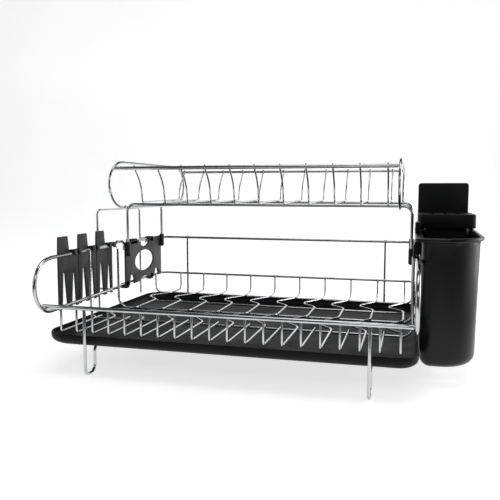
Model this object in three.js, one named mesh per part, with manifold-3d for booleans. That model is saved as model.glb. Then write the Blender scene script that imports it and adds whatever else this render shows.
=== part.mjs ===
// Two-tier dish drying rack: a wire basket on wire legs, a lift-off wire shelf above it,
// a drip tray that slides out to the left, clip-on cup holders and a hanging cutlery caddy.
// Millimetres, +X to the right, +Y to the back, +Z up.
// In the working frame the first floor rib stands at X = 0, the front wires at Y = 0
// and the worktop is Z = 0; the finished group is re-centred over its footprint.
import * as THREE from 'three';
import { mergeVertices } from 'three/addons/utils/BufferGeometryUtils.js';
import Module from 'manifold-3d';

const wasm = await Module();
wasm.setup();

// ---- wire sizes (radii) ----
const GAP = 0.3;
const RAIL_R = 2.7;          // front rail of the basket
const LOOP_R = 2.5;          // side loops
const FRAME_R = 2.1;         // rear wires, legs
const LOW_R = 1.9;           // rear lower wire
const RIB_R = 1.4;           // floor ribs
const ARCH_R = 1.7;          // board arch

// ---- basket ----
const PITCH = 22;            // floor rib spacing
const X_L = -18.7;           // left side loop plane
const X_R = 434.5;           // right side loop plane
const MIRROR = X_L + X_R;
const REAR_Y = 358.8;        // rear wires
const RAIL_Y = -4.6;
const RAIL_Z = 89.2;
const UPPER_Z = 152.9;
const LOWER_Z = 87.6;
const CORNER_R = 14;
const FLOOR_Z0 = 57.1;       // rib floor height at the front
const FLOOR_RISE = 2.0;      // it rises this much to the back
const RIB_FRONT_Y = -0.2;
const RIB_REAR_Y = REAR_Y - FRAME_R - RIB_R - GAP;
const RIB_TOP_Z = 89.5;
const SHORT_END_Y = 103;
const CROSS_Y = [325.6, 246, 182, 98];       // back to front
const CROSS_R = [1.5, 1.5, 2.0, 1.5];        // the third is as thick as the frame
const JOG = 26.5;            // sideways bulge of the long ribs, before its tip is rounded
const JOG_RADII = [14, 20, 24];
const JOG_SPANS = [[314.6, 270.6, 244], [176, 132, 102.3]];

// ---- side loops ----
const LOOP_FRONT_Y = -27.3;
const LOOP_TOP_Z = 149.1;
const LOOP_LOW_Z = 81.3;
const LOOP_FILLET = 33.3;
const LOOP_BACK_Y = 211;
const HUMP_Z = 156.5;

// ---- legs ----
const LEG_X = [32.3, 385];
const LEG_FRONT_Y = 0.5;
const LEG_REAR_Y = REAR_Y + 2 * FRAME_R + GAP;
const FOOT_W = 24;
const RUNNER_Z = 34.6;

// ---- board arch ----
const ARCH_X = -40.7;
const ARCH_Y = [168.6, 317];
const ARCH_TOP_Z = 206.6;
const ARCH_TIP_Z = 54.3;

// ---- brackets ----
const PLATE_X = [-15.6, -13.0];
const PLATE_Y = [206.3, 346.4];
const WIRE_SLOTS = [229.2, 325.5];               // arched slots that straddle the side wires
const SOCKET_X = -11;
const SOCKETS = [[211.2, 132, 154.5], [345.4, 137.5, 159.5]];   // Y, bottom, top
const SOCKET_R = 3.9;
const BORE_R = 2.6;
const HOOK_X = X_L - 4.1;                         // outer face of the rail hooks

// ---- upper shelf ----
const SHELF_RIBS = 11;
const SHELF_PITCH = 37.75;
const SHELF_X0 = 15.8;
const SHELF_RIB_R = 1.3;
const SHELF_RAIL_R = [2.8, 2.3];
const SHELF_RAIL_Z = [270.2, 271.2];
const SHELF_TIP_Z = 275;
const SHELF_TOP_Y = [183.5, 391.5];
const SHELF_BOTTOM_Y = [209, 366];
const SHELF_LEG_Z = [215, 217.4];
const SHELF_LEG_BEND = 12;
const END_R = 35;
const END_Z = 245.5;
const END_Y = [169.4, 404.8];
const END_WIRE_R = 2.0;
const END_X = [[-19.4, 9.2], [409.5, 411.5]];    // X at the front and at the back

// ---- tray ----
const TRAY_X = [-34.2, 438.2];
const TRAY_Y = [3.8, 358.3];
const TRAY_Z = [37.1, 52];
const TRAY_WALL = 2.4;
const TRAY_FLOOR = 2.8;
const TRAY_CORNERS = [36, 24, 28, 36];           // front left, front right, rear right, rear left
const TRAY_ROUND = [10, 15];                     // height and width of the rounded edge under the sides

// ---- caddy ----
const CUP_X = [438.9, 507.3];
const CUP_Y = [66, 284];
const CUP_Z = [24.2, 176];
const CUP_TAPER = 0.035;                         // the outer side leans in by this towards the bottom
const CUP_LEAN = 1.04;                           // degrees, the slope of the side rail it hangs on
const CUP_CORNERS = [14, 44, 30, 30];            // front left, front right, rear right, rear left
const CUP_WALL = 2.2;
const RIM_X = [430.8, 511.8];
const RIM_Y = [57, 294];
const RIM_Z = [175.6, 180.4];
const RIM_CORNERS = [10, 54, 36, 36];
const HOOK_Y = [[115, 135], [150, 170]];
const LUG = [430.8, 437.4, 138, 166, 194.4];     // raised tab on the rack side of the rim
const BLOCK_X = [434.6, 508.2];
const BLOCK_Y = [172, 285];
const BLOCK_Z = [186.8, 205.2];
const LEDGE_Y = 204;                              // side ledges behind this carry the block on the rim
const SKIRT_X = [443, 499.5];
const SKIRT_Y = [180, 279];
const SKIRT_Z = 116;
const SHIELD_Y = [262, 269];
const SHIELD_TOP_Z = 248.2;
const BLADE_SLOTS_X = [454, 471, 488];
const BLADE_SLOT = [5, 188, 252];               // width, front and back end

// ---- cup holders ----
const HOLDER_Y = [30.4, 79.9, 129.4];
const HOLDER_W = 48.5;
const HOLDER_T = 2.3;
const HOLDER_DROP = 74.5;
const HOLDER_HOOKS = [[28, 34.5], [40.5, 47]];

const V = (x, y, z) => new THREE.Vector3(x, y, z);

function material(color, roughness, metalness) {
  return new THREE.MeshStandardMaterial({ color, roughness, metalness });
}
const chrome = () => material(0xd4d6d8, 0.16, 1.0);
const black = () => material(0x141415, 0.42, 0.0);
const glossBlack = () => material(0x0c0c0d, 0.24, 0.0);

const rack = new THREE.Group();
function put(name, geometry, mat, parent = rack) {
  const mesh = new THREE.Mesh(geometry, mat);
  mesh.name = name;
  parent.add(mesh);
  return mesh;
}

// ---- wires ----
// A path that passes exactly through its stations, one extrusion step to each.
class WirePath extends THREE.Curve {
  constructor(stations) {
    super();
    this.stations = stations;
  }
  getPoint(t, target = new THREE.Vector3()) {
    const last = this.stations.length - 1;
    return target.copy(this.stations[Math.min(last, Math.round(t * last))]);
  }
  getPointAt(u, target) {
    return this.getPoint(u, target);
  }
  getTangent(t, target = new THREE.Vector3()) {
    const s = this.stations, last = s.length - 1, i = Math.min(last, Math.round(t * last));
    const before = s[i].clone().sub(s[Math.max(0, i - 1)]).normalize();
    const after = s[Math.min(last, i + 1)].clone().sub(s[i]).normalize();
    return target.copy(before.add(after)).normalize();
  }
  getTangentAt(u, target) {
    return this.getTangent(u, target);
  }
}

// Rounds the corners of a polyline; each corner takes `steps` chords.
function rounded(points, radius, steps = 4) {
  const out = [points[0].clone()];
  for (let i = 1; i < points.length - 1; i++) {
    const p = points[i], r = Array.isArray(radius) ? radius[i - 1] : radius;
    const a = p.clone().sub(points[i - 1]), b = points[i + 1].clone().sub(p);
    const d1 = a.clone().normalize(), d2 = b.clone().normalize();
    const turn = d1.angleTo(d2);
    const cut = Math.min(r * Math.tan(turn / 2), a.length() * 0.499, b.length() * 0.499);
    const rr = cut / Math.tan(turn / 2);
    const start = p.clone().addScaledVector(d1, -cut);
    const axis = d1.clone().cross(d2).normalize();
    const inward = d2.clone().sub(d1.clone().multiplyScalar(d1.dot(d2))).normalize();
    const centre = start.clone().addScaledVector(inward, rr);
    for (let k = 0; k <= steps; k++) {
      const spoke = start.clone().sub(centre).applyAxisAngle(axis, (turn * k) / steps);
      out.push(centre.clone().add(spoke));
    }
  }
  out.push(points[points.length - 1].clone());
  return out.filter((q, i) => i === 0 || q.distanceTo(out[i - 1]) > 0.02);
}

function section(radius, sides) {
  const s = new THREE.Shape();
  for (let k = 0; k < sides; k++) {
    const a = ((k + 0.5) * 2 * Math.PI) / sides;
    if (k) s.lineTo(radius * Math.cos(a), radius * Math.sin(a));
    else s.moveTo(radius * Math.cos(a), radius * Math.sin(a));
  }
  s.closePath();
  return s;
}

function wire(stations, radius, sides = 8) {
  const path = new WirePath(stations);
  return new THREE.ExtrudeGeometry(section(radius, sides), {
    extrudePath: path, steps: stations.length - 1, curveSegments: 1,
  });
}

// A closed stadium ring in the YZ plane, made from a torus whose stations are moved.
function stadiumRing(length, bend, radius, sides = 8, arcSteps = 8) {
  const count = 2 * (arcSteps + 1);
  const ring = new THREE.TorusGeometry(bend, radius, sides, count);
  const pos = ring.attributes.position, half = length / 2 - bend;
  for (let i = 0; i <= sides; i++) {
    for (let j = 0; j <= count; j++) {
      const n = j % count, end = n <= arcSteps ? 1 : -1;
      const step = n <= arcSteps ? n : n - arcSteps - 1;
      const a = (Math.PI * step) / arcSteps - (end > 0 ? Math.PI / 2 : -Math.PI / 2);
      const v = (((i % sides) + 0.5) * 2 * Math.PI) / sides;
      const reach = bend + radius * Math.cos(v);
      pos.setXYZ(i * (count + 1) + j, radius * Math.sin(v) * 1.0,
        end * half + reach * Math.cos(a), reach * Math.sin(a));
    }
  }
  return ring;
}

// ---- solids ----
function solid(geometry) {
  const g = geometry.clone();
  g.deleteAttribute('normal');
  if (g.attributes.uv) g.deleteAttribute('uv');
  const m = mergeVertices(g, 1e-4);
  return new wasm.Manifold(new wasm.Mesh({
    numProp: 3,
    vertProperties: new Float32Array(m.attributes.position.array),
    triVerts: new Uint32Array(m.index.array),
  }));
}

function geometryOf(manifold) {
  const mesh = manifold.getMesh();
  const g = new THREE.BufferGeometry();
  g.setAttribute('position', new THREE.BufferAttribute(new Float32Array(mesh.vertProperties), 3));
  g.setIndex(new THREE.BufferAttribute(new Uint32Array(mesh.triVerts), 1));
  g.computeVertexNormals();
  return g;
}

function box(x0, x1, y0, y1, z0, z1) {
  return solid(new THREE.BoxGeometry(x1 - x0, y1 - y0, z1 - z0)
    .translate((x0 + x1) / 2, (y0 + y1) / 2, (z0 + z1) / 2));
}

function post(x, y, z0, z1, r, sides = 16) {
  return solid(new THREE.CylinderGeometry(r, r, z1 - z0, sides)
    .rotateX(Math.PI / 2).translate(x, y, (z0 + z1) / 2));
}

// Rectangle with its own radius at each corner, counter-clockwise from front left.
function roundRect(x0, x1, y0, y1, radii) {
  const r = Array.isArray(radii) ? radii : [radii, radii, radii, radii];
  const s = new THREE.Shape();
  s.moveTo(x0 + r[0], y0);
  s.lineTo(x1 - r[1], y0);
  s.absarc(x1 - r[1], y0 + r[1], r[1], -Math.PI / 2, 0, false);
  s.lineTo(x1, y1 - r[2]);
  s.absarc(x1 - r[2], y1 - r[2], r[2], 0, Math.PI / 2, false);
  s.lineTo(x0 + r[3], y1);
  s.absarc(x0 + r[3], y1 - r[3], r[3], Math.PI / 2, Math.PI, false);
  s.lineTo(x0, y0 + r[0]);
  s.absarc(x0 + r[0], y0 + r[0], r[0], Math.PI, 1.5 * Math.PI, false);
  return s;
}

function slab(shape, z0, z1, curveSegments = 6) {
  return solid(new THREE.ExtrudeGeometry(shape, {
    depth: z1 - z0, bevelEnabled: false, curveSegments,
  }).translate(0, 0, z0));
}

// A tub-shaped plug: straight sides, its lower edge rounded inward.
function plug(shape, z0, z1, round, steps, curveSegments, reach = round) {
  return solid(new THREE.ExtrudeGeometry(shape, {
    depth: z1 - z0, bevelEnabled: true, bevelThickness: round, bevelSize: reach,
    bevelOffset: -reach, bevelSegments: steps, curveSegments,
  }).translate(0, 0, z0 + round)).subtract(box(-900, 900, -900, 900, z1, z1 + 3 * round));
}

// A plate lying in a YZ plane, outlined by a shape drawn in (y, z).
function sidePlate(shape, x0, x1, curveSegments = 6) {
  return solid(new THREE.ExtrudeGeometry(shape, {
    depth: x1 - x0, bevelEnabled: false, curveSegments,
  }).rotateZ(Math.PI / 2).rotateY(Math.PI / 2).translate(x0, 0, 0));
}

function polygon(points) {
  const s = new THREE.Shape();
  s.moveTo(...points[0]);
  points.slice(1).forEach((p) => s.lineTo(...p));
  s.closePath();
  return s;
}

function mirrored(manifold) {
  return manifold.scale([-1, 1, 1]).translate([MIRROR, 0, 0]);
}

// ---- basket ----
const floorZ = (y) => FLOOR_Z0 + (FLOOR_RISE * y) / RIB_REAR_Y;
const lowerZ = (y) => LOOP_LOW_Z + ((LOWER_Z - LOOP_LOW_Z) * (y - LOOP_FRONT_Y)) / 380;
const upperZ = (y) => LOOP_TOP_Z + ((UPPER_Z - LOOP_TOP_Z) * (y - LOOP_FRONT_Y)) / 209;

function frontRail() {
  put('front_rail', wire([V(X_L - 5, RAIL_Y, RAIL_Z), V(X_R + 2.5, RAIL_Y, RAIL_Z)], RAIL_R), chrome());
}

function sideLoop(name, x) {
  const line = [
    V(x, LOOP_BACK_Y, lowerZ(LOOP_BACK_Y)), V(x, LOOP_FRONT_Y, LOOP_LOW_Z),
    V(x, LOOP_FRONT_Y, LOOP_TOP_Z), V(x, 181, upperZ(181)), V(x, 188, HUMP_Z),
    V(x, 205, HUMP_Z), V(x, 212.5, 151), V(x, 212.5, 141),
  ];
  const path = rounded(line, [LOOP_FILLET, LOOP_FILLET, 5, 6, 5, 5], 3);
  put(name, wire(smoothArc(path, x), LOOP_R), chrome());
}

// The front arc of a side loop takes finer steps than its small bends.
function smoothArc(path, x) {
  const cy = LOOP_FRONT_Y + LOOP_FILLET + 0.6, cz = (LOOP_LOW_Z + LOOP_TOP_Z) / 2;
  const r = (LOOP_TOP_Z - LOOP_LOW_Z) / 2, steps = 12;
  const arc = Array.from({ length: steps + 1 }, (_, k) => {
    const a = -Math.PI / 2 - (Math.PI * k) / steps;
    return V(x, cy + r * Math.cos(a), cz + r * Math.sin(a));
  });
  const rest = path.filter((p) => p.y > cy + 4);
  return [rest[0], ...arc, ...rest.slice(1)];
}

function rearWire(name, z, startY, radius) {
  const line = [V(X_L, startY, z), V(X_L, REAR_Y, z), V(X_R, REAR_Y, z), V(X_R, startY, z)];
  put(name, wire(rounded(line, CORNER_R, 4), radius), chrome());
}

function longRib(name, x) {
  const line = [V(x, RIB_FRONT_Y, RIB_TOP_Z), V(x, RIB_FRONT_Y, floorZ(0))];
  const radii = [5];
  for (const [back, peak, front] of JOG_SPANS.slice().reverse()) {
    line.push(V(x, front, floorZ(front)), V(x - JOG, peak, floorZ(peak)), V(x, back, floorZ(back)));
    radii.push(...JOG_RADII);
  }
  line.push(V(x, RIB_REAR_Y, floorZ(RIB_REAR_Y)), V(x, RIB_REAR_Y, RIB_TOP_Z));
  radii.push(8);
  put(name, wire(rounded(line, radii, 3), RIB_R, 6), chrome());
}

function shortRib(name, x) {
  const line = [V(x, RIB_FRONT_Y, RIB_TOP_Z), V(x, RIB_FRONT_Y, floorZ(0)),
    V(x, SHORT_END_Y, floorZ(SHORT_END_Y))];
  put(name, wire(rounded(line, 5, 3), RIB_R, 6), chrome());
}

function crossWire(name, y, r, topZ) {
  const z = floorZ(y) - RIB_R - r - GAP, inset = LOOP_R + r + GAP, bend = r > 1.5 ? 16 : 12;
  const line = topZ
    ? [V(X_L + inset, y, topZ), V(X_L + inset, y, z), V(X_R - inset, y, z), V(X_R - inset, y, topZ)]
    : [V(PITCH - 3, y, z), V(19 * PITCH + 3, y, z)];
  put(name, wire(topZ ? rounded(line, [bend, 12], 4) : line, r, r > 1.5 ? 8 : 6), chrome());
}

function legWire(name, x) {
  const yf = LEG_FRONT_Y, yr = LEG_REAR_Y, foot = FRAME_R;
  const line = [
    V(x, yf, 90), V(x, yf, foot), V(x, yf + FOOT_W, foot), V(x, yf + FOOT_W, RUNNER_Z),
    V(x, yr - FOOT_W, RUNNER_Z), V(x, yr - FOOT_W, foot), V(x, yr, foot), V(x, yr, UPPER_Z + 3),
  ];
  put(name, wire(rounded(line, [9.5, 9.5, 7, 7, 9.5, 9.5], 4), FRAME_R), chrome());
}

function basket() {
  frontRail();
  sideLoop('side_loop_left', X_L);
  sideLoop('side_loop_right', X_R);
  rearWire('rear_upper_wire', UPPER_Z, 219, FRAME_R);
  rearWire('rear_lower_wire', LOWER_Z, 215, LOW_R);
  for (let i = 0; i < 10; i++) {
    const n = String(i + 1).padStart(2, '0');
    shortRib(`short_rib_${n}`, 2 * i * PITCH);
    longRib(`long_rib_${n}`, (2 * i + 1) * PITCH);
  }
  const tops = [LOWER_Z + 2, 0, upperZ(CROSS_Y[2]) - 6, upperZ(CROSS_Y[3]) + 1];
  CROSS_Y.forEach((y, i) => crossWire(`floor_wire_${i + 1}`, y, CROSS_R[i], tops[i]));
  LEG_X.forEach((x, i) => legWire(`leg_wire_${i ? 'right' : 'left'}`, x));
}

// ---- arch that holds a board upright beside the left loop ----
function boardArch() {
  const [y0, y1] = ARCH_Y;
  const hoop = solid(wire(rounded([V(ARCH_X, y0, ARCH_TIP_Z), V(ARCH_X, y0, ARCH_TOP_Z),
    V(ARCH_X, y1, ARCH_TOP_Z), V(ARCH_X, y1, ARCH_TIP_Z)], 9, 4), ARCH_R));
  const reach = (y, z, r) => solid(wire([V(ARCH_X, y, z), V(X_L - r - GAP, y, z)], ARCH_R * 0.93));
  put('board_arch', geometryOf(hoop
    .add(reach(y0, lowerZ(y0), LOOP_R))
    .add(reach(y1, LOWER_Z, LOW_R))
    .add(reach(y1, UPPER_Z, FRAME_R))), chrome());
}

// ---- brackets that carry the shelf legs ----
function bracketShape() {
  const [y0, y1] = PLATE_Y, mid = (y0 + y1) / 2;
  const s = new THREE.Shape();
  s.moveTo(y0, 83.6);
  s.lineTo(WIRE_SLOTS[0] - 7.8, 84);
  s.absellipse(WIRE_SLOTS[0], 84, 7.8, 16.8, Math.PI, 0, true);
  s.lineTo(mid - 18, 85);
  s.absellipse(mid + 1.2, 85, 19.2, 7, Math.PI, 0, true);
  s.lineTo(WIRE_SLOTS[1] - 7.8, 86.2);
  s.absellipse(WIRE_SLOTS[1], 86.2, 7.8, 14.6, Math.PI, 0, true);
  s.lineTo(y1, 86.7);
  s.lineTo(y1, 157);
  s.lineTo(mid + 21, 156);
  s.absellipse(mid, 156, 21, 13, 0, Math.PI, true);
  s.lineTo(y0, 154);
  s.closePath();
  const hole = new THREE.Path();
  hole.absellipse(mid, 119.4, 36.2, 17.4, 0, 2 * Math.PI, true);
  s.holes.push(hole);
  return s;
}

function overRailHook(y0, y1) {
  const under = UPPER_Z + FRAME_R + GAP, lip = X_L - FRAME_R - GAP;
  return box(HOOK_X, PLATE_X[1], y0, y1, under, under + 2.4)
    .add(box(PLATE_X[0], PLATE_X[1], y0, y1, under - 6, under + 2.4))
    .add(box(HOOK_X, lip, y0, y1, UPPER_Z - 5, under + 1));
}

function underRailClip(y0, y1, wireZ, radius) {
  const top = wireZ - radius - GAP, lip = X_L - radius - GAP;
  return box(HOOK_X, PLATE_X[1], y0, y1, top - 2.2, top)
    .add(box(PLATE_X[0], PLATE_X[1], y0, y1, top - 2.2, wireZ + 6))
    .add(box(HOOK_X, lip, y0, y1, top - 1, wireZ + 3));
}

function bracketBody() {
  let b = sidePlate(bracketShape(), PLATE_X[0], PLATE_X[1], 7);
  for (const [y, z0, z1] of SOCKETS) b = b.add(post(SOCKET_X, y, z0, z1, SOCKET_R));
  b = b.add(overRailHook(226, 250)).add(overRailHook(299, 312.5))
    .add(underRailClip(206.8, 218.5, lowerZ(211), LOOP_R)).add(underRailClip(300, 311, LOWER_Z, LOW_R));
  for (const [y, z0, z1] of SOCKETS) b = b.subtract(post(SOCKET_X, y, z0 + 3, z1 + 5, BORE_R));
  return b;
}

function brackets() {
  put('bracket_left', geometryOf(bracketBody()), black());
  put('bracket_right', geometryOf(mirrored(bracketBody())), black());
}

// ---- lift-off upper shelf ----
function shelfRibPath(x) {
  const [yf, yr] = SHELF_TOP_Y, [bf, br] = SHELF_BOTTOM_Y;
  const zf = SHELF_LEG_Z[0] + FRAME_R + SHELF_RIB_R + GAP;
  const zr = SHELF_LEG_Z[1] + FRAME_R + SHELF_RIB_R + GAP;
  const flare = (top, bottom) => new THREE.QuadraticBezierCurve(
    new THREE.Vector2(top, 269), new THREE.Vector2(bottom - 0.06 * (bottom - top), 249),
    new THREE.Vector2(bottom, 227)).getPoints(5).map((p) => V(x, p.x, p.y));
  const turn = (y, z, dir) => [V(x, y + dir * 1.3, z + 2.6), V(x, y + dir * 5.5, z)];
  return [V(x, yf - 1, SHELF_TIP_Z), ...flare(yf, bf), ...turn(bf, zf, 1),
    ...turn(br, zr, -1).reverse(), ...flare(yr, br).reverse(), V(x, yr + 1, SHELF_TIP_Z)];
}

function shelfLeg(name, i) {
  const [y, z0] = SOCKETS[i], z = SHELF_LEG_Z[i], tip = z0 + 3.8, xr = MIRROR - SOCKET_X;
  const line = [V(SOCKET_X, y, tip), V(SOCKET_X, y, z), V(xr, y, z), V(xr, y, tip)];
  put(name, wire(rounded(line, SHELF_LEG_BEND, 5), FRAME_R), chrome());
}

function endX(side, y) {
  const [a, b] = END_X[side];
  return a + ((b - a) * (y - END_Y[0])) / (END_Y[1] - END_Y[0]);
}

function shelfEnd(name, side) {
  const [a, b] = END_X[side], span = END_Y[1] - END_Y[0];
  const angle = Math.atan2(b - a, span);
  const mesh = put(name, stadiumRing(span / Math.cos(angle), END_R, END_WIRE_R), chrome());
  mesh.position.set((a + b) / 2, (END_Y[0] + END_Y[1]) / 2, END_Z);
  mesh.rotation.z = -angle;
}

function shelfRail(name, i) {
  const r = SHELF_RAIL_R[i], dir = i ? 1 : -1;
  const y = SHELF_TOP_Y[i] + dir * (r + SHELF_RIB_R + GAP + 0.3);
  const clear = END_WIRE_R + GAP + 0.2, z = SHELF_RAIL_Z[i];
  put(name, wire([V(endX(0, y) + clear, y, z), V(endX(1, y) - clear, y, z)], r), chrome());
}

function shelf() {
  ['front', 'rear'].forEach((side, i) => {
    shelfRail(`shelf_rail_${side}`, i);
    shelfLeg(`shelf_leg_${side}`, i);
  });
  shelfEnd('shelf_end_left', 0);
  shelfEnd('shelf_end_right', 1);
  for (let i = 0; i < SHELF_RIBS; i++) {
    const n = String(i + 1).padStart(2, '0');
    put(`shelf_rib_${n}`, wire(shelfRibPath(SHELF_X0 + i * SHELF_PITCH), SHELF_RIB_R, 6), chrome());
  }
}

// ---- drip tray ----
function dripTray() {
  const [x0, x1] = TRAY_X, [y0, y1] = TRAY_Y, [z0, z1] = TRAY_Z, w = TRAY_WALL;
  const [rise, reach] = TRAY_ROUND;
  const outer = plug(roundRect(x0, x1, y0, y1, TRAY_CORNERS), z0, z1, rise, 4, 5, reach);
  const inner = plug(roundRect(x0 + w, x1 - w, y0 + w, y1 - w, TRAY_CORNERS.map((r) => r - w)),
    z0 + TRAY_FLOOR, z1 + 4, rise - 1, 4, 5, reach - 1);
  put('drip_tray', geometryOf(outer.subtract(inner)), black());
}

// ---- cutlery caddy ----
function caddyHook(y0, y1) {
  const [x, z] = [CUP_X[0], UPPER_Z + FRAME_R + GAP];
  const profile = polygon([[x + 1, RIM_Z[0] + 1], [x - 5, RIM_Z[0] + 1], [x - 9.7, z + 11],
    [x - 9.7, 131.5], [x - 7.2, 131.5], [x - 7.2, z], [x + 1, z]]);
  return solid(new THREE.ExtrudeGeometry(profile, { depth: y1 - y0, bevelEnabled: false })
    .rotateX(Math.PI / 2).translate(0, y1, 0));
}

// Leans the outer side in towards the bottom.
function tapered(manifold) {
  return manifold.warp((v) => {
    v[0] = CUP_X[0] + (v[0] - CUP_X[0]) * (1 - (CUP_TAPER * (CUP_Z[1] - v[2])) / (CUP_Z[1] - CUP_Z[0]));
  });
}

function hanging(manifold) {
  const [y, z] = [RIM_Y[0], RIM_Z[1]];
  return manifold.translate([0, -y, -z]).rotate([CUP_LEAN, 0, 0]).translate([0, y, z]);
}

function caddyCup() {
  const [x0, x1] = CUP_X, [y0, y1] = CUP_Y, [z0, z1] = CUP_Z, w = CUP_WALL;
  let cup = tapered(plug(roundRect(x0, x1, y0, y1, CUP_CORNERS), z0, z1, 13, 3, 6));
  cup = cup.add(slab(roundRect(...RIM_X, ...RIM_Y, RIM_CORNERS), ...RIM_Z));
  for (const [a, b] of HOOK_Y) cup = cup.add(caddyHook(a, b));
  const inside = roundRect(x0 + w, x1 - w, y0 + w, y1 - w, CUP_CORNERS.map((r) => r - w));
  cup = cup.subtract(tapered(plug(inside, z0 + 2.6, RIM_Z[1] + 6, 11, 3, 6)));
  const [lx0, lx1, ly0, ly1, lz] = LUG;
  cup = cup.add(box(lx0, lx1, ly0, ly1, RIM_Z[0] + 1, lz));
  for (let i = 0; i < 5; i++) {
    const y = y0 + 37 + i * 36;
    cup = cup.subtract(box(x0 + 20, x1 - 20, y - 2.5, y + 2.5, z0 - 2, z0 + 6));
  }
  put('caddy_cup', geometryOf(hanging(cup)), glossBlack());
}

function caddyInsert() {
  const [x0, x1] = BLOCK_X, [y0, y1] = BLOCK_Y, [sx0, sx1] = SKIRT_X, [sy0, sy1] = SKIRT_Y;
  const [z0, z1] = BLOCK_Z, r = 24, t = 2;
  const seat = hanging(box(x0 - 20, x1 + 20, RIM_Y[0], y1 + 40, RIM_Z[1] - 40, RIM_Z[1] + GAP));
  const ledge = slab(roundRect(x0 + 1.2, x1 - 1.2, LEDGE_Y, y1 - 1.2, 5), RIM_Z[1] - 2, z0 + 1, 3);
  let block = slab(roundRect(x0, x1, y0, y1, 6), z0, z1, 3).add(ledge.subtract(seat))
    .add(slab(roundRect(sx0, sx1, sy0, sy1, [6, 6, r, r]), SKIRT_Z, z1 - 10, 5));
  const [b0, b1] = SHIELD_Y;
  const shield = new THREE.ExtrudeGeometry(roundRect(x0 + 0.2, x1 - 3.2, z1 - 4, SHIELD_TOP_Z, 4), {
    depth: b1 - b0, bevelEnabled: false, curveSegments: 3,
  }).rotateX(Math.PI / 2).translate(0, b1, 0);
  block = block.add(solid(shield));
  block = block.subtract(slab(roundRect(sx0 + t, sx1 - t, sy0 + t, sy1 - t, [4, 4, r - t, r - t]),
    SKIRT_Z - 2, z1 - 3, 5));
  const [w, s0, s1] = BLADE_SLOT;
  for (const x of BLADE_SLOTS_X) {
    block = block.subtract(slab(roundRect(x - w / 2, x + w / 2, s0, s1, w / 2 - 0.01), z1 - 6, z1 + 4, 3));
  }
  put('caddy_insert', geometryOf(block), black());
}

// ---- cup holders that clip over the left loop ----
function holderBody() {
  const w = HOLDER_W, d = -HOLDER_DROP;
  const outline = polygon([[0, d], [8, d], [8.4, d + 3], [11.6, -25], [15.4, -25], [20.6, d + 3],
    [21, d], [31, d], [31.4, d + 3], [35.8, -28], [39.4, -28], [42.4, d + 3], [42.8, d], [w, d],
    [w, 4.5], [26.4, 4.5], [23.6, 23.5], [1.2, 23.5], [0.2, 4.5]]);
  const x = X_L - LOOP_R - GAP, under = LOOP_R + GAP;
  let holder = sidePlate(outline, x - HOLDER_T, x);
  for (const [a, b] of HOLDER_HOOKS) {
    holder = holder.add(box(x - 1, X_L + 4.9, a, b, under, under + 2))
      .add(box(X_L + LOOP_R + GAP, X_L + 4.9, a, b, -3.4, under + 1));
  }
  return holder;
}

function cupHolders() {
  const body = geometryOf(holderBody());
  HOLDER_Y.forEach((y, i) => {
    put(`cup_holder_${i + 1}`, body.clone(), black()).position.set(0, y, upperZ(y + HOLDER_W));
  });
}

basket();
boardArch();
brackets();
shelf();
dripTray();
caddyCup();
caddyInsert();
cupHolders();

// Stand the rack on Z = 0 with its footprint centred on the origin.
const assembly = new THREE.Group();
assembly.add(rack);
const bounds = new THREE.Box3().setFromObject(assembly, true);
const centre = bounds.getCenter(new THREE.Vector3());
rack.position.set(-centre.x, -centre.y, -bounds.min.z);

export default assembly;
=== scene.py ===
"""Looks of the two-tier dish rack: round wires, weld beads, moulded plastic parts, a soft studio.
All sizes are millimetres in the rack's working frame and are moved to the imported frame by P()."""
import math

import bmesh
import bpy
from mathutils import Matrix, Vector


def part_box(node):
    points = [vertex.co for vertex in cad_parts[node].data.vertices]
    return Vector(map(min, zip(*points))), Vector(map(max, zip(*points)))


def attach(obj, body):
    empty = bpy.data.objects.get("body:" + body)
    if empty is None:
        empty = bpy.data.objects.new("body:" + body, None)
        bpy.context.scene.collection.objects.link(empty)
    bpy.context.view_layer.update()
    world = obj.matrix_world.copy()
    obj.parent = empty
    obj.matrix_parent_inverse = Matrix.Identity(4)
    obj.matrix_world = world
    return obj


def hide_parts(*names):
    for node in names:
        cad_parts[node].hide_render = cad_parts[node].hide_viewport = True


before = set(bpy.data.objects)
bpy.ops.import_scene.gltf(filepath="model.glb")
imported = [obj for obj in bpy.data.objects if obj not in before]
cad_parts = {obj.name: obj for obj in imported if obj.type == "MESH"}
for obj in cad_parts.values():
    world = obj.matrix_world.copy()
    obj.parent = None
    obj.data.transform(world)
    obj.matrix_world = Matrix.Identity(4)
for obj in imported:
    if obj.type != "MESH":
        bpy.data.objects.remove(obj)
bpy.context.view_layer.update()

# ---- working frame: the first floor rib stands at X = 0, the front wires at Y = 0, worktop Z = 0 ----
X_L, X_R = -18.7, 434.5          # the planes of the two side loops
MIRROR = X_L + X_R
GAP = 0.3                        # between wires that are welded on the real rack
RAIL_R, LOOP_R, RIB_R, ARCH_R = 2.7, 2.5, 1.4, 1.7
FRAME_R, LOW_R = 2.1, 1.9        # the upper rear wire and the legs, the lower rear wire
CROSS_R = (1.5, 1.5, 2.0, 1.5)   # the four wires under the floor ribs, from the back
CROSS_BEND = (12, 12, 16, 12)    # where they turn up on the left
RAIL_X, RAIL_Y, RAIL_Z = (X_L - 5, X_R + 2.5), -4.6, 89.2
_lo, _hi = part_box("front_rail")
_mid = (_lo + _hi) / 2
ORIGIN = _mid - Vector((sum(RAIL_X) / 2, RAIL_Y, RAIL_Z)) / 1000


def P(x, y, z):
    return Vector((x, y, z)) / 1000 + ORIGIN


# ---- paths ----
def V(x, y, z):
    return Vector((x, y, z))


def each(value, count):
    """A list of radii as it is, or one radius for every corner."""
    return value if isinstance(value, (list, tuple)) else [value] * count


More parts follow.
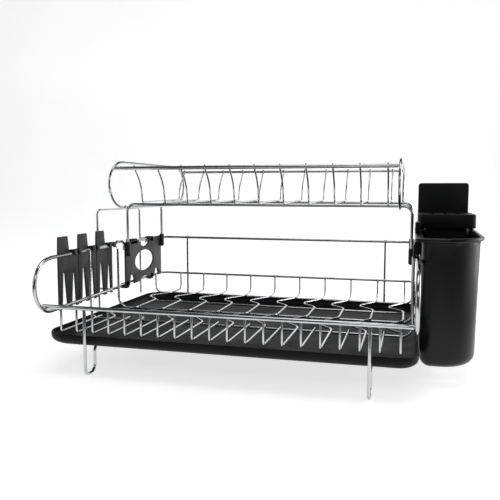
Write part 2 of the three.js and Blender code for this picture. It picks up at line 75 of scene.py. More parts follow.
def rounded(points, radii, step=9.0):
    """Fillets a polyline's corners, one chord every `step` degrees."""
    out = [points[0].copy()]
    for i, r in zip(range(1, len(points) - 1), each(radii, len(points) - 2)):
        p = points[i]
        a, b = p - points[i - 1], points[i + 1] - p
        d1, d2 = a.normalized(), b.normalized()
        turn = d1.angle(d2)
        if turn < 1e-4:
            out.append(p.copy())
            continue
        cut = min(r * math.tan(turn / 2), a.length * 0.499, b.length * 0.499)
        rr = cut / math.tan(turn / 2)
        start = p - d1 * cut
        axis = d1.cross(d2).normalized()
        centre = start + (d2 - d1 * d1.dot(d2)).normalized() * rr
        n = max(2, int(math.ceil(math.degrees(turn) / step)))
        for k in range(n + 1):
            out.append(centre + Matrix.Rotation(turn * k / n, 3, axis) @ (start - centre))
    out.append(points[-1].copy())
    return [q for i, q in enumerate(out) if i == 0 or (q - out[i - 1]).length > 0.02]


def bezier2(a, b, c, n):
    return [((1 - t) ** 2 * a[0] + 2 * t * (1 - t) * b[0] + t * t * c[0],
             (1 - t) ** 2 * a[1] + 2 * t * (1 - t) * b[1] + t * t * c[1])
            for t in (i / n for i in range(n + 1))]


# ---- meshes ----
def finish_mesh(name, bm, body, slot, nodes=(), smooth=40.0):
    """Makes an object of a bmesh (in packed metres), smooth where its faces turn less than `smooth`."""
    bmesh.ops.recalc_face_normals(bm, faces=bm.faces)
    limit = math.radians(smooth)
    for f in bm.faces:
        f.smooth = True
    for e in bm.edges:
        e.smooth = not (len(e.link_faces) == 2 and e.calc_face_angle(0.0) > limit)
    mesh = bpy.data.meshes.new(name)
    bm.to_mesh(mesh)
    bm.free()
    ob = bpy.data.objects.new(name, mesh)
    bpy.context.scene.collection.objects.link(ob)
    mesh.materials.append(MATERIALS[slot])
    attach(ob, body)
    if nodes:
        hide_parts(*nodes)
    return ob


DOME = [(0.0, 0.45), (0.10, 0.74), (0.28, 0.93), (0.55, 1.0)]   # a wire's end: (way in, radius) per radius


def add_tube(bm, pts, r, sides=14, closed=False):
    """Sweeps a round section along points in working millimetres, with domed ends if it is open."""
    pts = [P(*p) for p in pts]
    r /= 1000
    n = len(pts)
    if closed:
        tans = [(pts[(i + 1) % n] - pts[i - 1]).normalized() for i in range(n)]
    else:
        tans = []
        for i in range(n):
            a = (pts[i] - pts[i - 1]).normalized() if i else (pts[1] - pts[0]).normalized()
            b = (pts[i + 1] - pts[i]).normalized() if i < n - 1 else a
            tans.append((a + b).normalized())
    ref = Vector((1, 0, 0)) if abs(tans[0].x) < 0.7 else Vector((0, 0, 1))
    normal = (ref - tans[0] * ref.dot(tans[0])).normalized()
    rings = []

    def ring(c, t, nrm, rad):
        side = t.cross(nrm)
        return [bm.verts.new(c + (nrm * math.cos(a) + side * math.sin(a)) * rad)
                for a in (2 * math.pi * k / sides for k in range(sides))]

    for i in range(n):
        if i:
            rot = tans[i - 1].rotation_difference(tans[i])
            normal = rot @ normal
            normal = (normal - tans[i] * normal.dot(tans[i])).normalized()
        if not closed and i in (0, n - 1):
            inward = tans[i] if i == 0 else -tans[i]
            for off, k in DOME[::-1] if i else DOME:
                rings.append(ring(pts[i] + inward * off * r, tans[i], normal, k * r))
        else:
            rings.append(ring(pts[i], tans[i], normal, r))
    m = len(rings)
    for i in range(m if closed else m - 1):
        a, b = rings[i], rings[(i + 1) % m]
        shift = 0
        if closed and i == m - 1:
            shift = min(range(sides), key=lambda s: (a[0].co - b[s].co).length)
        for k in range(sides):
            bm.faces.new((a[k], a[(k + 1) % sides], b[(k + 1 + shift) % sides], b[(k + shift) % sides]))
    if not closed:
        bm.faces.new(list(reversed(rings[0])))
        bm.faces.new(rings[-1])


def wire(name, pts, r, body, node, **kw):
    """One wire of chrome that takes the place of a CAD node."""
    bm = bmesh.new()
    add_tube(bm, pts, r, **kw)
    finish_mesh(name, bm, body, "chrome_wire", (node,), smooth=50)


def add_bead(bm, c, rx, ry, rz, segs=10, rings=6):
    """A weld bead: an ellipsoid about the working point c."""
    c = P(*c)
    rows = []
    for i in range(1, rings):
        v = math.pi * i / rings
        rows.append([bm.verts.new(c + Vector((rx * math.sin(v) * math.cos(u), ry * math.sin(v) * math.sin(u),
                                              rz * math.cos(v))) / 1000)
                     for u in (2 * math.pi * k / segs for k in range(segs))])
    top = bm.verts.new(c + Vector((0, 0, rz)) / 1000)
    low = bm.verts.new(c - Vector((0, 0, rz)) / 1000)
    for k in range(segs):
        j = (k + 1) % segs
        bm.faces.new((top, rows[0][k], rows[0][j]))
        bm.faces.new((low, rows[-1][j], rows[-1][k]))
        for a, b in zip(rows, rows[1:]):
            bm.faces.new((a[k], b[k], b[j], a[j]))


def ring_points(x0, x1, y0, y1, radii, inset=0.0, arc=10):
    """Rounded rectangle, counter-clockwise from its front left corner, shrunk by inset."""
    x0, x1, y0, y1 = x0 + inset, x1 - inset, y0 + inset, y1 - inset
    r = [max(q - inset, 0.3) for q in each(radii, 4)]
    out = []
    for (cx, cy, a0), q in zip(((x0 + r[0], y0 + r[0], 180), (x1 - r[1], y0 + r[1], 270),
                                (x1 - r[2], y1 - r[2], 0), (x0 + r[3], y1 - r[3], 90)), r):
        for k in range(arc + 1):
            a = math.radians(a0 + 90 * k / arc)
            out.append((cx + q * math.cos(a), cy + q * math.sin(a)))
    return out


CAP_INSET = 0.006   # metres, the border of a loft's end caps


def add_loft(bm, rings):
    """Skins a stack of rings [(points, z)] of equal length and closes both of its ends."""
    rows = [[bm.verts.new(P(x, y, z)) for x, y in pts] for pts, z in rings]
    n = len(rows[0])
    for a, b in zip(rows, rows[1:]):
        for k in range(n):
            j = (k + 1) % n
            bm.faces.new((a[k], a[j], b[j], b[k]))
    for row in (rows[0], rows[-1]):
        bmesh.ops.inset_region(bm, faces=[bm.faces.new(row)], thickness=CAP_INSET, use_even_offset=True)


def quarter(inset0, z0, r, outward, n, reach=None):
    """Steps of a quarter round: (inset, z) from the flat bottom round to the upright wall, or back."""
    w = reach or r
    return [(inset0 + w - w * math.sin(t), z0 + r - r * math.cos(t))
            for t in (math.pi / 2 * k / n for k in range(n + 1))][::1 if outward else -1]


def add_box(bm, x0, x1, y0, y1, z0, z1, bevel):
    verts = bmesh.ops.create_cube(bm, size=1.0)["verts"]
    lo, hi = P(x0, y0, z0), P(x1, y1, z1)
    for v in verts:
        v.co = Vector([(lo[i] + hi[i]) / 2 + v.co[i] * (hi[i] - lo[i]) for i in range(3)])
    edges = list({e for v in verts for e in v.link_edges})
    bmesh.ops.bevel(bm, geom=edges, offset=bevel / 1000, segments=2, profile=0.5, affect="EDGES")


def add_plate(bm, outlines, to_xyz, depth, bevel):
    """A flat moulding with softly bevelled edges: closed outlines (the first may hold holes) in a
    plane, thickened by depth. to_xyz(u, v, w) gives working millimetres for w in 0..depth."""
    cu = bpy.data.curves.new("tmp_plate", "CURVE")
    cu.dimensions = "2D"
    cu.fill_mode = "BOTH"
    cu.extrude = depth / 2 - bevel
    cu.bevel_depth = bevel
    cu.bevel_resolution = 2
    cu.offset = -bevel
    for pts in outlines:
        sp = cu.splines.new("POLY")
        sp.points.add(len(pts) - 1)
        for q, (u, v) in zip(sp.points, pts):
            q.co = (u, v, 0, 1)
        sp.use_cyclic_u = True
    ob = bpy.data.objects.new("tmp_plate", cu)
    bpy.context.scene.collection.objects.link(ob)
    bpy.context.view_layer.update()
    dg = bpy.context.evaluated_depsgraph_get()
    mesh = bpy.data.meshes.new_from_object(ob.evaluated_get(dg))
    part = bmesh.new()
    part.from_mesh(mesh)
    bmesh.ops.remove_doubles(part, verts=part.verts, dist=1e-4)
    for v in part.verts:
        v.co = P(*to_xyz(v.co.x, v.co.y, v.co.z + depth / 2))
    part.to_mesh(mesh)
    part.free()
    bm.from_mesh(mesh)
    bpy.data.objects.remove(ob)
    bpy.data.curves.remove(cu)
    bpy.data.meshes.remove(mesh)


def soften(pts, radii, step=15):
    """Rounds the corners of a closed 2D outline."""
    n = len(pts)
    out = []
    for i, r in enumerate(radii):
        a, p, b = Vector(pts[i - 1]), Vector(pts[i]), Vector(pts[(i + 1) % n])
        u, w = a - p, b - p
        half = u.angle(w) / 2
        if r < 0.05 or half > 1.5:
            out.append(tuple(p))
            continue
        cut = min(r / math.tan(half), u.length * 0.48, w.length * 0.48)
        s, e = p + u.normalized() * cut, p + w.normalized() * cut
        m = max(2, int((math.pi - 2 * half) / math.radians(step)))
        for k in range(m + 1):
            t = k / m
            q = (1 - t) ** 2 * s + 2 * t * (1 - t) * p + t * t * e
            out.append(tuple(q))
    return out


def ellipse(cu, cv, a, b, t0, t1, n):
    """Points of an ellipse from t0 to t1 degrees; a whole one doesn't repeat its first point."""
    angles = [math.radians(t0 + (t1 - t0) * k / n) for k in range(n + (abs(t1 - t0) < 360))]
    return [(cu + a * math.cos(t), cv + b * math.sin(t)) for t in angles]


def notch(u, v, a, b, n=18):
    """The rounded top of a notch that rises from an outline's lower edge, without its two feet."""
    return ellipse(u, v, a, b, 180, 0, n)[1:-1]


def add_lathe(bm, x, y, profile, sides=28):
    """Turns a profile [(radius, z)] about a vertical axis; it starts and ends on the axis."""
    rows = []
    for r, z in profile:
        if r < 1e-6:
            rows.append([bm.verts.new(P(x, y, z))])
        else:
            rows.append([bm.verts.new(P(x + r * math.cos(a), y + r * math.sin(a), z))
                         for a in (2 * math.pi * k / sides for k in range(sides))])
    for a, b in zip(rows, rows[1:]):
        for k in range(sides):
            j = (k + 1) % sides
            if len(a) == 1:
                bm.faces.new((a[0], b[j], b[k]))
            elif len(b) == 1:
                bm.faces.new((a[k], a[j], b[0]))
            else:
                bm.faces.new((a[k], a[j], b[j], b[k]))


def cut_out(ob, build):
    """Subtracts the shapes that build(bm) makes from an object."""
    bm = bmesh.new()
    build(bm)
    bmesh.ops.recalc_face_normals(bm, faces=bm.faces)
    mesh = bpy.data.meshes.new("tmp_cut")
    bm.to_mesh(mesh)
    bm.free()
    tool = bpy.data.objects.new("tmp_cut", mesh)
    bpy.context.scene.collection.objects.link(tool)
    mod = ob.modifiers.new("cut", "BOOLEAN")
    mod.operation, mod.solver, mod.object = "DIFFERENCE", "EXACT", tool
    bpy.context.view_layer.update()
    dg = bpy.context.evaluated_depsgraph_get()
    new = bpy.data.meshes.new_from_object(ob.evaluated_get(dg))
    ob.modifiers.clear()
    old = ob.data
    mats = list(old.materials)
    ob.data = new
    new.materials.clear()
    for m in mats:
        new.materials.append(m)
    bpy.data.meshes.remove(old)
    bpy.data.objects.remove(tool)


# ---- materials ----
def nodes_of(mat):
    mat.use_nodes = True
    nt = mat.node_tree
    return nt, nt.nodes["Principled BSDF"]


def add_node(nt, kind, **settings):
    n = nt.nodes.new(kind)
    for key, val in settings.items():
        if hasattr(n, key):
            setattr(n, key, val)
        else:
            n.inputs[key.replace("_", " ")].default_value = val
    return n


def noise(nt, coord, scale, detail=4.0, rough=0.55, stretch=None):
    n = add_node(nt, "ShaderNodeTexNoise")
    n.inputs["Scale"].default_value = scale
    n.inputs["Detail"].default_value = detail
    n.inputs["Roughness"].default_value = rough
    if stretch:
        m = add_node(nt, "ShaderNodeMapping")
        m.inputs["Scale"].default_value = stretch
        nt.links.new(coord, m.inputs["Vector"])
        coord = m.outputs["Vector"]
    nt.links.new(coord, n.inputs["Vector"])
    return n.outputs["Fac"]


def ramp(nt, fac, stops):
    n = add_node(nt, "ShaderNodeValToRGB")
    e = n.color_ramp.elements
    while len(e) < len(stops):
        e.new(0.5)
    for el, (pos, col) in zip(e, stops):
        el.position = pos
        el.color = (*col, 1) if isinstance(col, (list, tuple)) else (col, col, col, 1)
    nt.links.new(fac, n.inputs["Fac"])
    return n.outputs["Color"]


def spread(nt, fac, lo, hi):
    n = add_node(nt, "ShaderNodeMapRange")
    n.inputs["From Min"].default_value, n.inputs["From Max"].default_value = 0.3, 0.7
    n.inputs["To Min"].default_value, n.inputs["To Max"].default_value = lo, hi
    nt.links.new(fac, n.inputs["Value"])
    return n.outputs["Result"]


def bump(nt, shader, *layers):
    """Stacks bump layers (height, strength, distance in metres)."""
    last = None
    for height, strength, distance in layers:
        b = add_node(nt, "ShaderNodeBump")
        b.inputs["Strength"].default_value = strength
        b.inputs["Distance"].default_value = distance
        nt.links.new(height, b.inputs["Height"])
        if last:
            nt.links.new(last, b.inputs["Normal"])
        last = b.outputs["Normal"]
    nt.links.new(last, shader.inputs["Normal"])


def chrome_material():
    mat = bpy.data.materials.new("chrome_wire")
    nt, sh = nodes_of(mat)
    co = add_node(nt, "ShaderNodeTexCoord").outputs["Object"]
    sh.inputs["Metallic"].default_value = 1.0
    broad = noise(nt, co, 38, 5)
    nt.links.new(ramp(nt, broad, [(0.3, (0.50, 0.505, 0.515)), (0.7, (0.64, 0.645, 0.655))]),
                 sh.inputs["Base Color"])
    fine = noise(nt, co, 420, 6, 0.6)
    nt.links.new(spread(nt, fine, 0.07, 0.17), sh.inputs["Roughness"])
    bump(nt, sh, (noise(nt, co, 90, 3), 0.06, 0.0004), (fine, 0.05, 0.00008))
    return mat


def plastic_material(name, dark, light, rough, grain, grain_scale, specular):
    mat = bpy.data.materials.new(name)
    nt, sh = nodes_of(mat)
    co = add_node(nt, "ShaderNodeTexCoord").outputs["Object"]
    sh.inputs["Specular IOR Level"].default_value = specular
    cloud = noise(nt, co, 14, 6, 0.6)
    nt.links.new(ramp(nt, cloud, [(0.32, dark), (0.68, light)]), sh.inputs["Base Color"])
    smear = noise(nt, co, 26, 4, 0.6, (1.0, 1.0, 0.25))
    nt.links.new(spread(nt, smear, *rough), sh.inputs["Roughness"])
    pits = noise(nt, co, grain_scale, 2, 0.5)
    bump(nt, sh, (noise(nt, co, 9, 2), 0.10, 0.0006), (pits, grain, 0.00006))
    return mat


# dark and light colour, range of roughness, strength and scale of the grain, specular level
PLASTICS = {
    "bracket_plastic": ((0.015, 0.015, 0.016), (0.027, 0.027, 0.029), (0.38, 0.5), 0.35, 1500, 0.4),
    "holder_plastic": ((0.016, 0.016, 0.017), (0.030, 0.030, 0.032), (0.36, 0.5), 0.35, 1500, 0.4),
    "tray_plastic": ((0.005, 0.005, 0.0055), (0.010, 0.010, 0.011), (0.42, 0.58), 0.45, 1100, 0.12),
    "caddy_gloss": ((0.003, 0.003, 0.0033), (0.006, 0.006, 0.0066), (0.26, 0.36), 0.12, 900, 0.26),
    "insert_plastic": ((0.007, 0.007, 0.0075), (0.012, 0.012, 0.013), (0.40, 0.54), 0.35, 1400, 0.26),
}
MATERIALS = {"chrome_wire": chrome_material()}
MATERIALS.update((slot, plastic_material(slot, *look)) for slot, look in PLASTICS.items())

# ---- basket wires ----
PITCH = 22
REAR_Y, UPPER_Z, LOWER_Z = 358.8, 152.9, 87.6
FLOOR_Z0, FLOOR_RISE = 57.1, 2.0
JOG, JOG_RADII = 26.5, [14, 20, 24]   # a long rib's sideways bulge: its reach, its bends from the front
RIB_REAR_Y = REAR_Y - FRAME_R - RIB_R - GAP
RIB_FRONT_Y, RIB_TOP_Z, SHORT_RIB_END_Y = -0.2, 89.5, 103
LOOP_FRONT_Y, LOOP_TOP_Z, LOOP_LOW_Z = -27.3, 149.1, 81.3
LOOP_TURN_Y = LOOP_FRONT_Y + (LOOP_TOP_Z - LOOP_LOW_Z) / 2
LOWER_END_Y, LOWER_RUN, UPPER_RUN = 211, 380, 209     # the runs rise to the rear wires' heights over these
HUMP_Y, HUMP_Z = (181, 188, 205, 212.5), (156.5, 151, 141)   # where a loop steps up, runs level, turns down
CROSS_Y = [325.6, 246, 182, 98]
JOG_SPANS = [[314.6, 270.6, 244], [176, 132, 102.3]]   # back, tip and front of each bulge
LEG_X, RUNNER_Z, FOOT_LENGTH = (32.3, 385), 34.6, 24
LEG_ROUND = 0.985                     # the round legs' radius as a share of the faceted CAD legs'
ARCH_X, ARCH_Y, ARCH_Z = -40.7, (168.6, 317), (54.3, 206.6)


def floor_z(y):
    return FLOOR_Z0 + FLOOR_RISE * y / RIB_REAR_Y


def lower_z(y):
    return LOOP_LOW_Z + (LOWER_Z - LOOP_LOW_Z) * (y - LOOP_FRONT_Y) / LOWER_RUN


def upper_z(y):
    return LOOP_TOP_Z + (UPPER_Z - LOOP_TOP_Z) * (y - LOOP_FRONT_Y) / UPPER_RUN


def basket_wires():
    """The front rail, the two side loops and the two wires round the back."""
    wire("front_rail_wire", [V(x, RAIL_Y, RAIL_Z) for x in RAIL_X], RAIL_R, "basket", "front_rail", sides=20)
    cy, cz = LOOP_TURN_Y, (LOOP_LOW_Z + LOOP_TOP_Z) / 2
    r = (LOOP_TOP_Z - LOOP_LOW_Z) / 2
    for side, x in (("left", X_L), ("right", X_R)):
        arc = [V(x, cy - r * math.cos(a), cz - r * math.sin(a))
               for a in (math.pi / 2 - math.pi * k / 26 for k in range(27))]
        up, level, off, down = HUMP_Y
        top = rounded([V(x, cy + 2, upper_z(cy + 2)), V(x, up, upper_z(up)), V(x, level, HUMP_Z[0]),
                       V(x, off, HUMP_Z[0]), V(x, down, HUMP_Z[1]), V(x, down, HUMP_Z[2])], [5, 6, 5, 5])
        wire(f"side_loop_{side}_wire", [V(x, LOWER_END_Y, lower_z(LOWER_END_Y))] + arc + top, LOOP_R,
             "basket", f"side_loop_{side}", sides=16)
    for name, z, y, r in (("rear_upper_wire", UPPER_Z, 219, FRAME_R),
                          ("rear_lower_wire", LOWER_Z, 215, LOW_R)):
        line = [V(X_L, y, z), V(X_L, REAR_Y, z), V(X_R, REAR_Y, z), V(X_R, y, z)]
        wire(name + "_round", rounded(line, 14), r, "basket", name, sides=16)


def floor_ribs():
    """Short and long ribs by turns, each from the front rail down and back."""
    for i in range(10):
        x = 2 * i * PITCH
        line = [V(x, RIB_FRONT_Y, RIB_TOP_Z), V(x, RIB_FRONT_Y, floor_z(0)),
                V(x, SHORT_RIB_END_Y, floor_z(SHORT_RIB_END_Y))]
        name = f"short_rib_{i + 1:02d}"
        wire(name + "_wire", rounded(line, 5), RIB_R, "basket", name, sides=12)
        x += PITCH
        line, radii = [V(x, RIB_FRONT_Y, RIB_TOP_Z), V(x, RIB_FRONT_Y, floor_z(0))], [5]
        for back, peak, front in reversed(JOG_SPANS):
            line += [V(x, front, floor_z(front)), V(x - JOG, peak, floor_z(peak)), V(x, back, floor_z(back))]
            radii += JOG_RADII
        line += [V(x, RIB_REAR_Y, floor_z(RIB_REAR_Y)), V(x, RIB_REAR_Y, RIB_TOP_Z)]
        name = f"long_rib_{i + 1:02d}"
        wire(name + "_wire", rounded(line, radii + [8]), RIB_R, "basket", name, sides=12)


def cross_wires():
    """The four wires under the ribs; all but the second turn up at both side loops."""
    tops = [LOWER_Z + 2, None, upper_z(CROSS_Y[2]) - 6, upper_z(CROSS_Y[3]) + 1]
    for i, (y, top, r, bend) in enumerate(zip(CROSS_Y, tops, CROSS_R, CROSS_BEND)):
        z, inset = floor_z(y) - RIB_R - r - GAP, LOOP_R + r + GAP
        if top:
            line = rounded([V(X_L + inset, y, top), V(X_L + inset, y, z), V(X_R - inset, y, z),
                            V(X_R - inset, y, top)], [bend, 12])
        else:
            line = [V(PITCH - 3, y, z), V(19 * PITCH + 3, y, z)]
        wire(f"floor_wire_{i + 1}_round", line, r, "basket", f"floor_wire_{i + 1}", sides=12)


def leg_wires():
    """Each leg wire is one piece: front foot, runner under the tray, rear foot."""
    yf, yr, w, foot = 0.5, REAR_Y + 2 * FRAME_R + GAP, FOOT_LENGTH, FRAME_R
    for side, x in zip(("left", "right"), LEG_X):
        line = [V(x, yf, 90), V(x, yf, foot), V(x, yf + w, foot), V(x, yf + w, RUNNER_Z),
                V(x, yr - w, RUNNER_Z), V(x, yr - w, foot), V(x, yr, foot), V(x, yr, UPPER_Z + 3)]
        wire(f"leg_{side}_round", rounded(line, [9.5, 9.5, 7, 7, 9.5, 9.5]), FRAME_R * LEG_ROUND,
             "basket", f"leg_wire_{side}", sides=16)


def board_arch():
    """The arch outside the left side, on three spacers."""
    bm = bmesh.new()
    x, (y0, y1), (low, top) = ARCH_X, ARCH_Y, ARCH_Z
    add_tube(bm, rounded([V(x, y0, low), V(x, y0, top), V(x, y1, top), V(x, y1, low)], 9), ARCH_R)
    for y, z, rr in ((y0, lower_z(y0), LOOP_R), (y1, LOWER_Z, LOW_R), (y1, UPPER_Z, FRAME_R)):
        add_tube(bm, [V(x, y, z), V(X_L - rr - GAP, y, z)], ARCH_R * 0.93)
        add_bead(bm, (x + 1.4, y, z), 1.5, 2.1, 2.1)
    finish_mesh("board_arch_wire", bm, "basket", "chrome_wire", ("board_arch",), smooth=50)


def basket_welds():
    bm = bmesh.new()
    for i in range(20):
        x = i * PITCH
        add_bead(bm, (x, -2.0, RIB_TOP_Z - 1.4), 1.3, 1.4, 2.4)
        for y in CROSS_Y if i % 2 else CROSS_Y[3:]:
            add_bead(bm, (x, y, floor_z(y) - RIB_R - 0.15), 1.5, 1.5, 0.9)
        if i % 2:
            add_bead(bm, (x, REAR_Y - FRAME_R + 0.2, LOWER_Z), 1.3, 1.0, 1.9)
    for x in LEG_X:
        add_bead(bm, (x, -2.4, RAIL_Z - 0.2), 1.8, 1.2, 2.2)
        for z in (LOWER_Z, UPPER_Z):
            add_bead(bm, (x, REAR_Y + FRAME_R, z), 1.8, 0.9, 1.8)
    for x, s in ((X_L, 1), (X_R, -1)):
        add_bead(bm, (x, RAIL_Y - 0.5, RAIL_Z - RAIL_R - 0.3), 1.8, 2.0, 1.2)
        for y in CROSS_Y[2:]:
            for z in (lower_z(y), upper_z(y) - (4 if y == CROSS_Y[2] else 0)):
                add_bead(bm, (x + s * (LOOP_R + 0.1), y, z), 0.9, 1.7, 1.7)
        add_bead(bm, (x + s * (LOW_R + 0.2), CROSS_Y[0], LOWER_Z), 0.9, 1.6, 1.6)
    finish_mesh("basket_weld_beads", bm, "basket", "chrome_wire", smooth=80)


# ---- upper shelf ----
SHELF_LEG_Z = [215, 217.4]
SHELF_TOP_Y, SHELF_BOTTOM_Y = [183.5, 391.5], [209, 366]
SHELF_RIBS, SHELF_RIB_X, SHELF_PITCH = 11, 15.8, 37.75
SHELF_R, SHELF_RAIL_R = 1.3, [2.8, 2.3]
SHELF_RAIL_Z, SHELF_TIP_Z = [270.2, 271.2], 275
SOCKET_X = -11
SOCKETS = [[211.2, 132, 154.5], [345.4, 137.5, 159.5]]          # y, bottom and top of each leg's socket
END_X, END_Y = [[-19.4, 9.2], [409.5, 411.5]], [169.4, 404.8]   # each end loop's x at its front and its back
END_R, END_Z, END_WIRE_R, END_STEPS = 35, 245.5, 2.0, 25


def end_x(side, y):
    a, b = END_X[side]
    return a + (b - a) * (y - END_Y[0]) / (END_Y[1] - END_Y[0])


def shelf_ribs():
    zf, zr = (z + FRAME_R + SHELF_R + GAP for z in SHELF_LEG_Z)
    (yf, yr), (bf, br) = SHELF_TOP_Y, SHELF_BOTTOM_Y

    def flare(top, bottom):
        return bezier2((top, 269), (bottom - 0.06 * (bottom - top), 249), (bottom, 227), 10)

    def turn(y, z, d):
        return [(y + d * 0.3, z + 5.0), (y + d * 1.3, z + 2.6), (y + d * 3.0, z + 0.9), (y + d * 5.5, z)]

    for i in range(SHELF_RIBS):
        x = SHELF_RIB_X + SHELF_PITCH * i
        yz = ([(yf - 1, SHELF_TIP_Z)] + flare(yf, bf) + turn(bf, zf, 1) + turn(br, zr, -1)[::-1]
              + flare(yr, br)[::-1] + [(yr + 1, SHELF_TIP_Z)])
        name = f"shelf_rib_{i + 1:02d}"
        wire(name + "_wire", [V(x, *p) for p in yz], SHELF_R, "shelf", name, sides=12)


def shelf_legs_and_rails():
    clear = END_WIRE_R + GAP + 0.2
    for i, side in enumerate(("front", "rear")):
        y, z0, _ = SOCKETS[i]
        z, tip, xr = SHELF_LEG_Z[i], z0 + 3.8, MIRROR - SOCKET_X
        line = [V(SOCKET_X, y, tip), V(SOCKET_X, y, z), V(xr, y, z), V(xr, y, tip)]
        wire(f"shelf_leg_{side}_round", rounded(line, 12), FRAME_R, "shelf", f"shelf_leg_{side}", sides=16)
        r, d = SHELF_RAIL_R[i], (1 if i else -1)
        y, z = SHELF_TOP_Y[i] + d * (r + SHELF_R + GAP + 0.3), SHELF_RAIL_Z[i]
        line = [V(end_x(0, y) + clear, y, z), V(end_x(1, y) - clear, y, z)]
        wire(f"shelf_rail_{side}_round", line, r, "shelf", f"shelf_rail_{side}", sides=18)


def shelf_ends():
    """Long loops with round ends, which stand askew between the two rails."""
    for side, name in enumerate(("left", "right")):
        (a, b), span = END_X[side], END_Y[1] - END_Y[0]
        half = span / 2 / math.cos(math.atan2(b - a, span)) - END_R
        pts = []
        for end in (1, -1):
            for k in range(END_STEPS + 1):
                t = math.pi * k / END_STEPS - end * math.pi / 2
                s, z = end * half + END_R * math.cos(t), END_Z + END_R * math.sin(t)
                u = 0.5 + s / (2 * (half + END_R))
                pts.append(V(a + (b - a) * u, END_Y[0] + span * u, z))
        wire(f"shelf_end_{name}_ring", pts, END_WIRE_R, "shelf", f"shelf_end_{name}", sides=14, closed=True)


def shelf_welds():
    bm = bmesh.new()
    outward = (-1, 1)
    for i in range(SHELF_RIBS):
        x = SHELF_RIB_X + SHELF_PITCH * i
        for y, d, z in zip(SHELF_TOP_Y, outward, SHELF_RAIL_Z):
            add_bead(bm, (x, y + d * (SHELF_R + 0.3), z), 1.3, 1.0, 1.8)
        for socket, z in zip(SOCKETS, SHELF_LEG_Z):
            add_bead(bm, (x, socket[0], z + FRAME_R + 0.1), 1.4, 1.5, 0.9)
    for side, s in enumerate((1, -1)):
        for i in (0, 1):
            y = SHELF_TOP_Y[i] + outward[i] * (SHELF_RAIL_R[i] + SHELF_R + GAP)
            add_bead(bm, (end_x(side, y) + s * 2.0, y, SHELF_RAIL_Z[i]), 1.2, 1.7, 1.7)
            y = SOCKETS[i][0]
            add_bead(bm, (end_x(side, y), y, SHELF_LEG_Z[i] - 2.4), 1.7, 1.7, 0.9)
    finish_mesh("shelf_weld_beads", bm, "shelf", "chrome_wire", smooth=80)


# ---- brackets ----
PLATE_X, PLATE_Y, WIRE_SLOTS = (-15.6, -13.0), (206.3, 346.4), (229.2, 325.5)
HOOK_X = X_L - 4.1
UPPER_HOOKS = ((226, 250), (299, 312.5))
LOWER_CLIPS = ((206.8, 218.5, lower_z(LOWER_END_Y), LOOP_R), (300, 311, LOWER_Z, LOW_R))


def bracket(side):
    """A plate with a socket for each shelf leg and clips over the side wires; the right one is mirrored."""
    node = f"bracket_{side}"

    def X(x):
        return MIRROR - x if side == "right" else x

    def span(a, b):
        return sorted((X(a), X(b)))

    (px0, px1), (y0, y1), slots = PLATE_X, PLATE_Y, WIRE_SLOTS
    mid = (y0 + y1) / 2
    outline = [(y0, 83.6), (slots[0] - 7.8, 84)]
    outline += notch(slots[0], 84, 7.8, 16.8)
    outline += [(slots[0] + 7.8, 84.2), (mid - 18, 85)]
    outline += notch(mid + 1.2, 85, 19.2, 7)
    outline += [(mid + 20.4, 85.3), (slots[1] - 7.8, 86.2)]
    outline += notch(slots[1], 86.2, 7.8, 14.6)
    outline += [(slots[1] + 7.8, 86.3), (y1, 86.7), (y1, 157), (mid + 21, 156)]
    outline += ellipse(mid, 156, 21, 13, 0, -180, 22)[1:-1]
    outline += [(mid - 21, 155.4), (y0, 154)]
    hole = ellipse(mid, 119.4, 36.2, 17.4, 0, 360, 56)
    bm = bmesh.new()
    add_plate(bm, [outline, hole], lambda u, v, w: (X(px1 - w), u, v), px1 - px0, 0.4)
    for y, z0, z1 in SOCKETS:
        prof = [(0, z0), (1.8, z0 + 0.15), (3.0, z0 + 0.8), (3.7, z0 + 2.0), (3.9, z0 + 3.6), (3.9, z1 - 0.5),
                (3.6, z1), (2.9, z1), (2.6, z1 - 0.4), (2.6, z0 + 3.4), (2.2, z0 + 3.1), (0, z0 + 3.0)]
        add_lathe(bm, X(SOCKET_X), y, prof)
    under, lip = UPPER_Z + FRAME_R + GAP, X_L - FRAME_R - GAP
    for a, b in UPPER_HOOKS:
        add_box(bm, *span(HOOK_X, px1), a, b, under, under + 2.4, 0.6)
        add_box(bm, *span(px0, px1), a, b, under - 6, under + 2.4, 0.4)
        add_box(bm, *span(HOOK_X, lip), a, b, UPPER_Z - 5, under + 1, 0.5)
    for a, b, z, r in LOWER_CLIPS:
        top, lip = z - r - GAP, X_L - r - GAP
        add_box(bm, *span(HOOK_X, px1), a, b, top - 2.2, top, 0.6)
        add_box(bm, *span(px0, px1), a, b, top - 2.2, z + 6, 0.4)
        add_box(bm, *span(HOOK_X, lip), a, b, top - 1, z + 3, 0.5)
    finish_mesh(node + "_moulding", bm, "basket", "bracket_plastic", (node,), smooth=35)


# ---- drip tray ----
TRAY = (-34.2, 438.2, 3.8, 358.3, [36, 24, 28, 36])   # x and y limits, corner radii
TRAY_Z, TRAY_WALL, TRAY_FLOOR = 37.1, 2.4, 2.8
TRAY_LIP = [(0, 50.9), (0.18, 51.5), (0.6, 51.9), (1.1, 52),       # (inset, z) over the edge of the wall
            (1.5, 52), (2.0, 51.85), (2.3, 51.4), (2.4, 50.8)]


def drip_tray():
    prof = quarter(0, TRAY_Z, 10, True, 12, 15) + TRAY_LIP
    prof += quarter(TRAY_WALL, TRAY_Z + TRAY_FLOOR, 9, False, 12, 14)
    bm = bmesh.new()
    add_loft(bm, [(ring_points(*TRAY, i, 14), z) for i, z in prof])
    finish_mesh("drip_tray_moulding", bm, "tray", "tray_plastic", ("drip_tray",), smooth=45)


